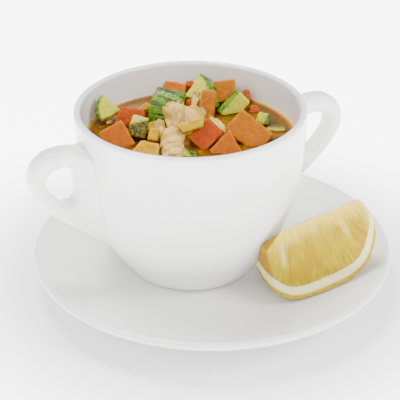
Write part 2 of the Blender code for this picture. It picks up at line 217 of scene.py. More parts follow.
def porcelain():
    paint = Paint("porcelain_glaze", Roughness=0.13, **glow((0.0007, 0.00065, 0.0006), 0.15))
    where = paint.place()
    color = paint.ramp(paint.noise(22, where), (0.35, (0.91, 0.91, 0.895)), (0.65, (0.93, 0.93, 0.92)))
    gloss = paint.ramp(paint.noise(9, where), (0.3, 0.10), (0.7, 0.17))
    return paint.finish(color, gloss, paint.noise(14, where, 1.0), 0.00012)


def orange_flesh(name, light, dark, tint, rim, fibre=2.0):
    """Cooked squash or carrot: mottled flesh with short fibres, and a painted highlight along its edges."""
    paint = Paint(name, Roughness=0.22, Specular_IOR_Level=0.15, **glow((0.0030, 0.0012, 0.0003), 0.35))
    where = paint.place()
    patches = paint.noise(3.2, where, 4.0)
    fibres = paint.noise(0.9, paint.place((fibre, fibre, 0.6)), 3.0)
    color = paint.mix(paint.ramp(patches, (0.35, 0.0), (0.65, 1.0)), dark, light)
    color = paint.mix(paint.ramp(fibres, (0.45, 0.0), (0.75, 0.35)), color, tint)
    # painted highlight: lighter flesh where the piece stands out at its edges, for the light caught there and
    # shining through
    color = paint.mix(paint.math("MULTIPLY", paint.value("edge"), 0.6), color, rim)
    gloss = paint.ramp(paint.noise(1.4, where), (0.35, 0.18), (0.7, 0.45))
    return paint.finish(color, gloss, fibres, 0.00014)


def courgette(name, skin_dark, skin_light, flesh, painted_glare=(0.56, 0.56, 0.01)):
    """Skin where the attribute skin is 1, then a thin green edge, then pale flesh with patches of painted
    glare.
    """
    paint = Paint(name, Roughness=0.3, Specular_IOR_Level=0.3, **glow((0.0016, 0.0022, 0.0006), 0.3))
    where = paint.place()
    flecks = paint.noise(0.9, paint.place((1, 1, 0.35)), 5.0)
    streaks = paint.noise(1.5, paint.place((1.0, 1.0, 0.16)), 3.0, 0.6)
    skin = paint.mix(paint.ramp(streaks, (0.42, 0.0), (0.6, 1.0)), skin_dark, skin_light)
    skin = paint.mix(paint.ramp(flecks, (0.55, 0.0), (0.72, 0.8)), skin, (0.20, 0.32, 0.03))
    # painted highlight: patches of lighter flesh for the glare on the moist flesh
    soft = paint.mix(paint.ramp(paint.noise(1.8, where, 4.0), (0.35, 0.0), (0.7, 1.0)), flesh, painted_glare)
    under = paint.mix(paint.ramp(paint.value("skin"), (0.30, 0.0), (0.62, 1.0)), soft, (0.24, 0.34, 0.01))
    color = paint.mix(paint.ramp(paint.value("skin"), (0.66, 0.0), (0.80, 1.0)), under, skin)
    gloss = paint.ramp(paint.noise(1.2, where), (0.35, 0.2), (0.7, 0.45))
    return paint.finish(color, gloss, flecks, 0.00030)


def soft_layer(name, base, vein, shade):
    """Pale cooked layers with veins along their length, darker and browner at their edges as painted shade
    between the layers.
    """
    paint = Paint(name, Roughness=0.28, Specular_IOR_Level=0.3, **glow((0.0022, 0.0013, 0.0007), 0.3))
    veins = paint.noise(0.8, paint.place((1.6, 0.14, 1.0)), 3.0, 0.3)
    blotch = paint.noise(3.0, paint.place(), 3.0)
    color = paint.mix(paint.ramp(blotch, (0.35, 0.0), (0.68, 1.0)), base, shade)
    color = paint.mix(paint.ramp(veins, (0.50, 0.0), (0.78, 0.55)), color, vein)
    # painted shade: the leaves' edges darker and browner, where the layers lie over each other
    color = paint.mix(paint.math("MULTIPLY", paint.value("edge"), 0.7), color, (0.56, 0.27, 0.05))
    return paint.finish(color, None, veins, 0.00020)


def broth_paint():
    deep_glow = glow((0.0060, 0.0025, 0.0006), 0.25)
    paint = Paint("broth_surface", Roughness=0.05, Specular_IOR_Level=0.15, **deep_glow)
    where = paint.place()
    swirl = paint.noise(13, where, 4.0, 0.9)
    browns = (0.30, (0.09, 0.038, 0.001)), (0.52, (0.19, 0.076, 0.0)), (0.74, (0.38, 0.155, 0.0))
    color = paint.ramp(swirl, *browns)
    # painted highlight: a light orange line along the wall, for the light caught by the broth where it meets
    # the wall
    color = paint.mix(paint.ramp(paint.value("edge"), (0.0, 0.0), (1.0, 1.0)), color, (0.82, 0.44, 0.02))
    # painted shade: darker round the pieces that stick out and in a band just inside the wall
    color = paint.mix(paint.ramp(paint.value("shaded"), (0.0, 0.0), (1.0, 0.8)), color, (0.07, 0.024, 0.001))
    fat = paint.cells(3.4, where)
    drops = paint.ramp(fat, (0.16, 1.0), (0.20, 0.0))
    color = paint.mix(paint.math("MULTIPLY", drops, 0.35), color, (0.36, 0.15, 0.003))
    ripples = paint.math("ADD", paint.noise(7, where, 2.0), paint.math("MULTIPLY", drops, 0.12))
    return paint.finish(color, None, ripples, 0.00016)


def lemon_paint():
    """Pulp, pith and zest by depth under the rind; juice sacs fan out from the core."""
    deep_glow = glow((0.0050, 0.0034, 0.0006), 0.3)
    paint = Paint("lemon_flesh", Roughness=0.28, Specular_IOR_Level=0.18, **deep_glow)
    place = paint.place(attribute="spoke")
    sacs = paint.noise(1.0, paint.place((1.0, 0.13, 0.8), "spoke"), 3.0, 0.5)
    fine = paint.noise(0.6, paint.place((1.5, 0.22, 1.0), "spoke"), 2.0, 0.3)
    clouds = paint.noise(8, place, 3.0, 0.5)
    pulp = paint.ramp(sacs, (0.34, (0.42, 0.255, 0.0)), (0.50, (0.48, 0.345, 0.0)), (0.68, (0.54, 0.42, 0.0)))
    spots = paint.math("MULTIPLY", paint.noise(4, place, 2.0, 0.4), 0.6)
    deep = paint.math("ADD", spots, paint.math("MULTIPLY", paint.value("deep"), 0.5))
    pulp = paint.mix(paint.ramp(deep, (0.36, 0.0), (0.72, 0.8)), pulp, (0.46, 0.275, 0.0))
    uneven = paint.math("ADD", paint.math("MULTIPLY", clouds, 0.25), paint.math("MULTIPLY", sacs, 0.30))
    whiter = paint.math("ADD", paint.math("MULTIPLY", paint.value("pale"), 0.5), uneven)
    pale = paint.ramp(whiter, (0.42, 0.0), (0.80, 1.0))
    pulp = paint.mix(paint.math("MULTIPLY", pale, 0.9), pulp, (0.84, 0.64, 0.09))
    pulp = paint.mix(paint.math("MULTIPLY", paint.value("end"), 0.8), pulp, (0.42, 0.215, 0.0))
    streak = paint.math("MULTIPLY", paint.value("membrane"), paint.ramp(sacs, (0.30, 0.25), (0.62, 0.9)))
    pulp = paint.mix(streak, pulp, (0.82, 0.70, 0.24))
    wavering = paint.math("MULTIPLY", paint.math("SUBTRACT", fine), 0.12)
    pith_edge = paint.math("ADD", paint.value("depth"), wavering)
    pith = paint.ramp(fine, (0.3, (0.88, 0.78, 0.36)), (0.7, (0.93, 0.87, 0.54)))
    dimples = paint.noise(1.1, paint.place(), 2.0)
    zest = paint.ramp(dimples, (0.3, (0.44, 0.29, 0.0)), (0.7, (0.56, 0.42, 0.0)))
    color = paint.mix(paint.ramp(pith_edge, (0.40, 0.0), (0.46, 1.0)), pulp, pith)
    color = paint.mix(paint.ramp(pith_edge, (0.74, 0.0), (0.84, 1.0)), color, zest)
    pores = paint.ramp(paint.cells(1.1, paint.place()), (0.0, 0.0), (0.35, 1.0))
    surface = paint.mix(paint.ramp(paint.value("depth"), (0.90, 0.0), (0.95, 1.0)), sacs, pores)
    gloss = paint.ramp(paint.value("depth"), (0.38, 0.2), (0.5, 0.5))
    return paint.finish(color, gloss, surface, 0.0006)


# Mesh helpers


def link(thing):
    bpy.context.scene.collection.objects.link(thing)
    return thing


def shown(mesh, name, finish, stands_for=()):
    """A finished piece that rides on the model."""
    piece = link(bpy.data.objects.new(name, mesh))
    mesh.materials.clear()
    mesh.materials.append(finish)
    mesh.shade_smooth()
    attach(piece, "root")
    if stands_for:
        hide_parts(*stands_for)
    return piece


def evaluated(thing):
    bpy.context.view_layer.update()
    graph = bpy.context.evaluated_depsgraph_get()
    return bpy.data.meshes.new_from_object(thing.evaluated_get(graph))


def points_of(mesh):
    flat = np.zeros(len(mesh.vertices) * 3)
    mesh.vertices.foreach_get("co", flat)
    return flat.reshape(-1, 3)


def normals_of(mesh):
    flat = np.zeros(len(mesh.vertices) * 3)
    mesh.vertex_normals.foreach_get("vector", flat)
    return flat.reshape(-1, 3)


def set_points(mesh, points):
    mesh.vertices.foreach_set("co", points.ravel())
    mesh.update()


def paint_value(mesh, name, values):
    mesh.attributes.new(name, "FLOAT", "POINT").data.foreach_set("value", np.asarray(values, float))


def paint_place(mesh, points, name="place"):
    """Stores coordinates in millimetres."""
    layer = mesh.attributes.new(name, "FLOAT_VECTOR", "POINT")
    layer.data.foreach_set("vector", (np.asarray(points) * 1000).ravel())


def lumps(points, size, seed, count=20):
    """Smooth seeded unevenness between about -1 and 1, of a given lump size."""
    draw = np.random.default_rng(seed)
    total = np.zeros(len(points))
    for _ in range(count):
        way = draw.normal(size=3)
        way *= math.tau / (size * draw.uniform(0.7, 1.5)) / np.linalg.norm(way)
        total += np.sin(points @ way + draw.uniform(0, math.tau))
    return total / math.sqrt(count)


def smoothstep(low, high, values):
    share = np.clip((values - low) / (high - low), 0, 1)
    return share * share * (3 - 2 * share)


def corners_of(mesh, voxel):
    """How much each point stands out from its neighbours, from 0 on a flat side to 1 on an edge."""
    points, normals = points_of(mesh), normals_of(mesh)
    ends = np.zeros(len(mesh.edges) * 2, int)
    mesh.edges.foreach_get("vertices", ends)
    first, second = ends.reshape(-1, 2).T
    count = np.bincount(ends, minlength=len(points))[:, None]

    def spread(values):
        total = np.zeros_like(values)
        np.add.at(total, first, values[second])
        np.add.at(total, second, values[first])
        return total / count

    bulge = np.sum((points - spread(points)) * normals, 1, keepdims=True) / voxel
    for _ in range(3):
        bulge = spread(bulge)
    return np.clip(bulge[:, 0] / 0.22, 0, 1)


def remesh(mesh, voxel, smoothing):
    """The same form in even small faces, with its edges a little softened."""
    shape = bmesh.new()
    shape.from_mesh(mesh)
    bmesh.ops.remove_doubles(shape, verts=shape.verts, dist=0.000002)
    shape.to_mesh(mesh)
    shape.free()
    helper = link(bpy.data.objects.new("helper", mesh))
    step = helper.modifiers.new("even", "REMESH")
    step.mode = "VOXEL"
    step.voxel_size = voxel
    soft = helper.modifiers.new("soft", "SMOOTH")
    soft.factor = 0.5
    soft.iterations = smoothing
    made = evaluated(helper)
    bpy.data.objects.remove(helper, do_unlink=True)
    return made


def turned(profile, steps):
    """A closed body turned about Z from (radius, height) points."""
    shape = bmesh.new()
    rings = []
    for radius, height in profile:
        if radius < 1e-9:
            rings.append([shape.verts.new((0, 0, height))])
            continue
        turns = [math.tau * i / steps for i in range(steps)]
        rings.append([shape.verts.new((radius * math.cos(a), radius * math.sin(a), height)) for a in turns])
    for upper, lower in zip(rings, rings[1:]):
        for i in range(steps):
            corners = [upper[i % len(upper)], lower[i % len(lower)]]
            corners += [lower[(i + 1) % len(lower)], upper[(i + 1) % len(upper)]]
            unique = [v for n, v in enumerate(corners) if v not in corners[:n]]
            shape.faces.new(unique)
    bmesh.ops.recalc_face_normals(shape, faces=shape.faces)
    mesh = bpy.data.meshes.new("turned")
    shape.to_mesh(mesh)
    shape.free()
    return mesh


def arc(center, radius, start, end, count):
    turns = [math.radians(start + (end - start) * i / count) for i in range(count + 1)]
    return [(center[0] + radius * math.cos(a), center[1] + radius * math.sin(a)) for a in turns]


# Porcelain


def saucer_top(radius):
    share = max(0, (radius - SAUCER_FLOOR_RADIUS) / (SAUCER_RADIUS - SAUCER_FLOOR_RADIUS))
    return SAUCER_FLOOR_TOP + (SAUCER_HEIGHT - SAUCER_FLOOR_TOP) * share**SAUCER_SWEEP


def make_saucer(finish):
    lip = SAUCER_THICKNESS / 2
    edge = SAUCER_RADIUS - lip
    sweep = [SAUCER_FLOOR_RADIUS + (edge - SAUCER_FLOOR_RADIUS) * i / 40 for i in range(41)]
    outside = SAUCER_FOOT_RADIUS
    inside = SAUCER_FOOT_RADIUS - SAUCER_FOOT_WIDTH
    profile = [(0, SAUCER_FLOOR_TOP), (0.012, SAUCER_FLOOR_TOP), (0.024, SAUCER_FLOOR_TOP)]
    profile += [(r, saucer_top(r)) for r in sweep[:-1]]
    profile += arc((edge, saucer_top(edge) - lip), lip, 90, -90, 14)
    beyond_foot = [r for r in reversed(sweep[:-1]) if r > outside + 2 * FOOT_ROUND]
    profile += [(r, saucer_top(r) - SAUCER_THICKNESS) for r in beyond_foot]
    profile += [(outside + FOOT_ROUND, saucer_top(outside) - SAUCER_THICKNESS)]
    profile += arc((outside - FOOT_ROUND, FOOT_ROUND), FOOT_ROUND, 0, -90, 5)
    profile += arc((inside + FOOT_ROUND, FOOT_ROUND), FOOT_ROUND, -90, -180, 5)
    under = SAUCER_FLOOR_TOP - SAUCER_THICKNESS
    profile += [(inside - FOOT_ROUND, under), (0, under)]
    mesh = turned(profile, PORCELAIN_STEPS)
    paint_place(mesh, points_of(mesh))
    return shown(mesh, "saucer_glazed", finish, ["saucer"])


def cup_radius(height):
    share = np.clip((height - CUP_BASE) / CUP_HEIGHT, 0, 1)
    belly = CUP_RIM_RADIUS - CUP_FOOT_RADIUS - CUP_FLARE
    return CUP_FOOT_RADIUS + CUP_FLARE * share + belly * (1 - (1 - share) ** CUP_BELLY)


def cup_body():
    lip = CUP_WALL / 2
    rim = CUP_BASE + CUP_HEIGHT - lip
    floor = CUP_BASE + CUP_FLOOR
    heights = [floor + 0.004 + (rim - floor - 0.004) * (i / 48) ** 1.4 for i in range(49)]
    inner = [(cup_radius(z) - CUP_WALL, z) for z in heights]
    outer = [CUP_BASE + FOOT_ROUND + (rim - CUP_BASE - FOOT_ROUND) * (i / 64) ** 1.4 for i in range(65)]
    recess = CUP_FOOT_RADIUS - CUP_FOOT_WIDTH
    profile = [(0, floor), (inner[0][0] - 0.0055, floor), (inner[0][0] - 0.0015, floor + 0.0016)]
    profile += inner[:-1]
    profile += arc((cup_radius(rim) - lip, rim), lip, 180, 0, 16)
    profile += [(cup_radius(z), z) for z in reversed(outer[:-1])]
    profile += [(CUP_FOOT_RADIUS - FOOT_ROUND, CUP_BASE), (recess + FOOT_ROUND, CUP_BASE)]
    profile += [(recess - FOOT_ROUND, CUP_BASE + CUP_FOOT_DEPTH), (0, CUP_BASE + CUP_FOOT_DEPTH)]
    return turned(profile, PORCELAIN_STEPS)


def ear_outline():
    """The ear's outer edge and its hole, as (distance from the axis, height) knots."""
    root = [(0.0320, 0.0200), (0.0320, 0.0360), (0.0370, 0.0540), (0.0420, 0.0700)]
    outside = [
        (0.0490, 0.0748),
        (0.0565, 0.0780),
        (0.0650, 0.0790),
        (0.0728, 0.0768),
        (0.0778, 0.0704),
        (0.0785, 0.0622),
        (0.0745, 0.0540),
        (0.0668, 0.0460),
        (0.0565, 0.0366),
        (0.0460, 0.0283),
    ]
    hole = [
        (0.0590, 0.0688),
        (0.0650, 0.0702),
        (0.0702, 0.0672),
        (0.0704, 0.0622),
        (0.0665, 0.0563),
        (0.0610, 0.0522),
        (0.0578, 0.0545),
        (0.0576, 0.0620),
    ]
    return root + outside, hole


def cup_ear():
    """An ear in the XZ plane: even faces first, then widened towards the wall."""
    curve = bpy.data.curves.new("ear", "CURVE")
    curve.dimensions = "2D"
    curve.fill_mode = "BOTH"
    curve.extrude = EAR_HALF_WIDTH - EAR_ROUND
    curve.bevel_depth = EAR_ROUND
    curve.bevel_resolution = 6
    curve.offset = -EAR_ROUND
    for knots in ear_outline():
        spline = curve.splines.new("BEZIER")
        spline.bezier_points.add(len(knots) - 1)
        spline.use_cyclic_u = True
        spline.resolution_u = 10
        for point, (x, y) in zip(spline.bezier_points, knots):
            point.co = (x, y, 0)
            point.handle_left_type = "AUTO"
            point.handle_right_type = "AUTO"
    helper = link(bpy.data.objects.new("helper_ear", curve))
    mesh = remesh(evaluated(helper), EAR_VOXEL, 6)
    bpy.data.objects.remove(helper, do_unlink=True)
    points = points_of(mesh)[:, [0, 2, 1]] * (1, -1, 1)
    from_wall = points[:, 0] - cup_radius(points[:, 2])
    root = np.clip(1 - from_wall / 0.009, 0, 1) ** 2
    tail = np.clip((points[:, 2] - 0.021) / 0.024, 0.25, 1)
    points[:, 1] *= (1 + (EAR_ROOT_HALF_WIDTH / EAR_HALF_WIDTH - 1) * root) * tail
    fillet = np.clip(1 - from_wall / 0.0022, 0, 1)
    points[:, 1] *= 1 + 0.16 * (1 - np.sqrt(1 - fillet**2))
    reach = np.hypot(points[:, 0], points[:, 1])
    least = cup_radius(points[:, 2]) - CUP_WALL / 2
    points[:, :2] *= np.maximum(1, least / reach)[:, None]
    set_points(mesh, points)
    return mesh


def make_cup(finish):
    shape = bmesh.new()
    shape.from_mesh(cup_body())
    ear = cup_ear()
    for heading in (EAR_ANGLE, EAR_ANGLE + 180):
        copy = ear.copy()
        copy.transform(Matrix.Rotation(math.radians(heading), 4, "Z"))
        shape.from_mesh(copy)
    mesh = bpy.data.meshes.new("cup_glazed")
    shape.to_mesh(mesh)
    shape.free()
    mesh.transform(Matrix.Translation(CUP_AXIS))
    paint_place(mesh, points_of(mesh))
    return shown(mesh, "cup_glazed", finish, ["cup"])


# Vegetables


def placed(at, spin, lean, heading):
    """The pose of a piece's own frame, as in the solids; at is in millimetres from the broth's middle."""
    turns = Matrix.Rotation(math.radians(heading), 4, "Z") @ Matrix.Rotation(math.radians(lean), 4, "X")
    turns = turns @ Matrix.Rotation(math.radians(spin), 4, "Z")
    return Matrix.Translation(CUP_AXIS + Vector((0, 0, BROTH_TOP)) + Vector(at) / 1000) @ turns


def own_points(points, pose):
    turn = np.array(pose.to_3x3())
    return (points - np.array(pose.translation)) @ turn


def dress(node, finish, pose, rough=1.0, skin=None):
    """A finer, uneven surface over a solid piece. skin gives its green side from own points."""
    mesh = remesh(NODES[node].data.copy(), VEGETABLE_VOXEL, 3)
    points = points_of(mesh)
    seed = sum(map(ord, node))
    own = own_points(points, pose)
    paint_place(mesh, own)
    # edge: how far each point stands out; the orange finishes show it as a painted highlight
    paint_value(mesh, "edge", corners_of(mesh, VEGETABLE_VOXEL))
    if skin:
        paint_value(mesh, "skin", skin(own))
    uneven = 0.00013 * lumps(own, 0.0045, seed) + 0.00007 * lumps(own, 0.0018, seed + 1)
    uneven += 0.00004 * lumps(own, 0.0009, seed + 2)
    uneven = np.minimum(0.8 * uneven * rough - 0.00004, 0.00025)
    set_points(mesh, points + normals_of(mesh) * uneven[:, None])
    return shown(mesh, node + "_cooked", finish, [node])


# place in millimetres from the middle of the broth's surface, then spin, lean and heading in degrees
SQUASH_POSES = {
    "squash_right": ((26.2, -7.3, 5.6), -40, 51, 0),
    "squash_front_right": ((15.9, -18.4, 1.0), -62, 52, 0),
    "squash_front_left": ((-33.0, -10.0, 3.7), -60, 55, 0),
    "squash_back": ((16.0, 29.8, 8.7), 6, 58, 0),
    "squash_back_left": ((-7.9, 29.0, 11.0), -12, 42, 0),
    "squash_front": ((-19.0, -18.4, 3.1), -12, 45, 0),
    "carrot_stick": ((6.7, 4.8, 9.9), -3, 62, -14),
}
CARROT_POSES = {
    "carrot_front": ((6.5, -10.6, 5.8), -45, 52, 0),
    "carrot_left": ((-27.4, 9.8, 4.8), -3, 60, -10),
    "carrot_middle": ((0.2, 13.6, 9.8), 0, 40, 0),
    "carrot_back": ((-0.4, 33.0, 11.4), 6, 34, 0),
    "carrot_sliver": ((27.0, 34.6, 4.2), 4, 60, 0),
    "carrot_chip": ((30.2, 24.6, 1.9), 5, 45, 0),
}
PEPPER_POSES = {
    "pepper_strip": ((0.5, -10.6, 10.6), 19, 42, 0),
    "pepper_left": ((-16.4, -9.2, 5.6), -8, 48, 0),
    "pepper_bit": ((-17.9, -0.4, 5.4), 20, 50, 0),
    "pepper_back_left": ((-21.8, 17.6, 5.8), 34, 48, 0),
}
WEDGE_POSES = {
    "courgette_slice_left": ((-31.4, 16.4, 5.0), 67, 47, 30),
    "courgette_block": ((-2.6, 17.6, 1.4), 54, 96, 72),
    "courgette_top": ((-3.2, 25.0, 8.2), -56, 55, -30),
    "courgette_wedge": ((28.6, 27.0, 3.8), -50, 49, 119),
}
WEDGE_RADIUS = {
    "courgette_slice_left": 0.0126,
    "courgette_block": 0.0130,
    "courgette_top": 0.0135,
    "courgette_wedge": 0.0100,
}
# pose, the way to the green side in the piece's own frame, and where along it the green begins and is full
BIT_POSES = {
    "celery_left": (((-23.4, -4.4, 6.8), -18, 58, 6), (0.35, -0.7, 0.10), (0.16, 0.48)),
    "courgette_bit_right": (((33.4, 9.8, 3.9), -16, 58, 0), (1.0, -0.1, 0.2), (0.45, 0.95)),
    "courgette_float": (((39.0, 5.4, 0.6), 4, 14, 0), (0.1, 1.0, 0.1), (0.40, 0.85)),
    "courgette_front": (((-0.2, -20.8, 1.3), -14, 50, 0), (0.3, 0.6, 0.7), (0.45, 0.95)),
}
# width, length, thickness, bend and ripple in millimetres, then the pose
PETALS = {
    "onion_upper": ((10.0, 14.4, 2.0, 0.9, 0.4), ((-6.4, 5.0, 7.0), 12, 60, 0)),
    "onion_right": ((10.4, 14.0, 2.0, 0.8, 0.4), ((1.4, 2.2, 6.0), -10, 60, 0)),
    "onion_lower": ((9.6, 12.6, 2.0, 1.0, 0.5), ((-7.6, -12.4, 4.8), -14, 60, 0)),
    "onion_left": ((5.4, 9.4, 1.6, 0.4, 0.3), ((-14.0, -1.4, 3.6), 14, 62, 0)),
    "onion_front": ((9.2, 8.0, 2.2, 0.6, 0.4), ((-7.4, -19.8, 2.4), -4, 50, 0)),
    "onion_on_carrot": ((9.4, 3.6, 1.3, 0.4, 0.3), ((12.2, -6.6, 8.9), -40, 48, 0)),
    "onion_shred": ((3.2, 10.0, 1.6, 0.3, 0.5), ((2.4, 9.4, 13.4), -10, 62, 0)),
}


def waves(at, *parts):
    """Sine waves added up, each given by its height, beat and start."""
    return sum(height * np.sin(beat * at + start) for height, beat, start in parts)


def onion_layer(size, wave, draw, layer, layers):
    """One thin leaf of a petal: a ragged, fibrous sheet that thins out to its rim."""
    width, length, thickness, bend, ripple = (value / 1000 for value in size)
    columns = max(12, round(width / LEAF_GRID))
    rows = max(12, round(length / LEAF_GRID))
    across, along = np.meshgrid(np.linspace(-1, 1, columns), np.linspace(-1, 1, rows))
    turn = draw.uniform(0, math.tau, 8)
    torn = waves(along, (0.10, 4.5, turn[0]), (0.06, 9, turn[1]), (0.03, 23, turn[2]))
    ends = waves(across, (0.09, 4, turn[3]), (0.06, 9, turn[4]), (0.03, 21, turn[5]))
    ragged = 1 + 0.05 * np.sin(3.1 * along + wave) + 0.04 * np.sin(5.3 * across + wave)
    narrow = 1.06 - 0.22 * (layer % 2) - 0.06 * draw.uniform()
    short = 1.06 - 0.20 * ((layer + 1) % 2) - 0.06 * draw.uniform()
    x = across * (width / 2) * (1 - 0.08 * along**2) * ragged * (narrow + torn * np.abs(across) ** 3)
    y = along * (length / 2) * (1 - 0.06 * across**2) * (short + ends * np.abs(along) ** 3)
    x += draw.uniform(-0.06, 0.06) * width
    y += draw.uniform(-0.06, 0.06) * length
    u, v = 2 * x / width, 2 * y / length
    z = ripple * np.sin(3.6 * v + 1.9 * u + wave) - bend * (u**2 + 0.35 * v**2)
    leaf = thickness / layers
    z += thickness * ((layer + 0.5) / layers - 0.5)
    z += 0.00045 * np.sin(4.1 * u + 2.3 * v + turn[6]) * (0.3 + np.abs(across))
    fibres = 0.00005 * np.sin(width * 1000 * 2.6 * across + 2.4 * np.sin(2.2 * along + turn[7]))
    fibres += 0.00003 * np.sin(width * 1000 * 5.3 * across + 2.1 * np.sin(4 * along + turn[2]))
    z += 0.00028 * np.sin(5.2 * along + 2.2 * np.sin(2.1 * across + turn[1]) + turn[4])
    rim = np.sqrt(np.clip(1 - np.maximum(np.abs(across), np.abs(along)) ** 6, 0, 1))
    half = 0.44 * leaf * rim + 0.00001
    front = np.stack([x, y, z + half + fibres * rim], -1).reshape(-1, 3)
    back = np.stack([x, y, z - half + fibres * rim], -1).reshape(-1, 3)
    grid = np.arange(rows * columns).reshape(rows, columns)
    quads = np.stack([grid[:-1, :-1], grid[:-1, 1:], grid[1:, 1:], grid[1:, :-1]], -1).reshape(-1, 4)
    ring = np.concatenate([grid[0, :-1], grid[:-1, -1], grid[-1, :0:-1], grid[:0:-1, 0]])
    after = np.roll(ring, -1)
    count = rows * columns
    side = np.stack([ring, ring + count, after + count, after], -1)
    return np.concatenate([front, back]), np.concatenate([quads, quads[:, ::-1] + count, side])


def make_onion(node, finish):
    """A petal of several leaves, kept close to its solid."""
    size, pose = PETALS[node]
    wave = random.Random(node).uniform(0, math.tau)
    draw = np.random.default_rng(sum(map(ord, node)))
    layers = 3 if size[2] > 1.5 else 2
    points, faces, total = [], [], 0
    for layer in range(layers):
        made, quads = onion_layer(size, wave, draw, layer, layers)
        points.append(made)
        faces.append(quads + total)
        total += len(made)
    own = np.concatenate(points)
    place = placed(*pose)
    world = own @ np.array(place.to_3x3()).T + np.array(place.translation)
    solid = bmesh.new()
    solid.from_mesh(NODES[node].data)
    bmesh.ops.triangulate(solid, faces=solid.faces)
    tree = BVHTree.FromBMesh(solid)
    solid.free()
    for i, point in enumerate(world):
        near, normal, _, distance = tree.find_nearest(Vector(point))
        if distance > LEAF_OUTSIDE and (Vector(point) - near).dot(normal) > 0:
            world[i] = near + normal * LEAF_OUTSIDE
    mesh = bpy.data.meshes.new(node)
    mesh.from_pydata(world.tolist(), [], np.concatenate(faces).tolist())
    paint_place(mesh, own)
    width, length = size[0] / 2000, size[1] / 2000
    edge = np.maximum(np.abs(own[:, 0]) / width, np.abs(own[:, 1]) / length)
    # edge: the leaf's rim, which the onion finish darkens as painted shade
    paint_value(mesh, "edge", smoothstep(0.7, 1.0, edge))
    return shown(mesh, node + "_cooked", finish, [node])


# pixels of a cream spot and a soft brown patch in the photo, both taken for small loose pieces
BIT_LEFT_PIXEL = (109.5, 123.5)
BIT_SUNK_PIXEL = (102.0, 127.0)
# the same pieces: pixel, height over the broth and size in millimetres, heading in degrees, kind
BITS = {
    "bit_left": (BIT_LEFT_PIXEL, 0.6, (3.2, 2.2, 2.0), 25, "onion"),
    "bit_sunk_left": (BIT_SUNK_PIXEL, -0.3, (5.0, 2.4, 1.6), 38, "stock"),
}


def camera_pose():
    down = Matrix.Rotation(math.radians(90 - CAMERA_DOWN), 4, "X")
    return Matrix.Translation(CAMERA_AT) @ down @ Matrix.Rotation(math.radians(CAMERA_ROLL), 4, "Z")


def on_broth(pixel):
    """The point of the broth's surface that the photo shows at a pixel."""
    right, down = ((value / PHOTO_PIXELS - 0.5) * SENSOR / LENS for value in pixel)
    ray = camera_pose().to_3x3() @ Vector((right, -down, -1))
    return CAMERA_AT + ray * ((BROTH_TOP - CAMERA_AT.z) / ray.z)


def make_bit(name, pixel, height, size, heading, finish, slot):
    """A soft, roughly boxy lump in the broth."""
    seed = sum(map(ord, name))
    shape = bmesh.new()
    bmesh.ops.create_icosphere(shape, subdivisions=4, radius=1)
    points = np.array([v.co[:] for v in shape.verts])
    faces = [[v.index for v in face.verts] for face in shape.faces]
    shape.free()
    points = np.sign(points) * np.abs(points) ** 0.72
    points *= 1 + 0.10 * lumps(points, 1.9, seed)[:, None] + 0.04 * lumps(points, 0.8, seed + 1)[:, None]
    points = points * np.array(size) / 2000
    turn = np.array(Matrix.Rotation(math.radians(heading), 3, "Z"))
    place = np.array(on_broth(pixel)) + (0, 0, height / 1000)
    mesh = bpy.data.meshes.new(name)
    mesh.from_pydata((points @ turn.T + place).tolist(), [], faces)
    paint_place(mesh, points)
    # a little of its finish's painted edge colour all over: painted highlight on the stock bit, painted shade
    # on the onion bit
    paint_value(mesh, "edge", np.full(len(points), 0.2))
    return shown(mesh, name, finish)


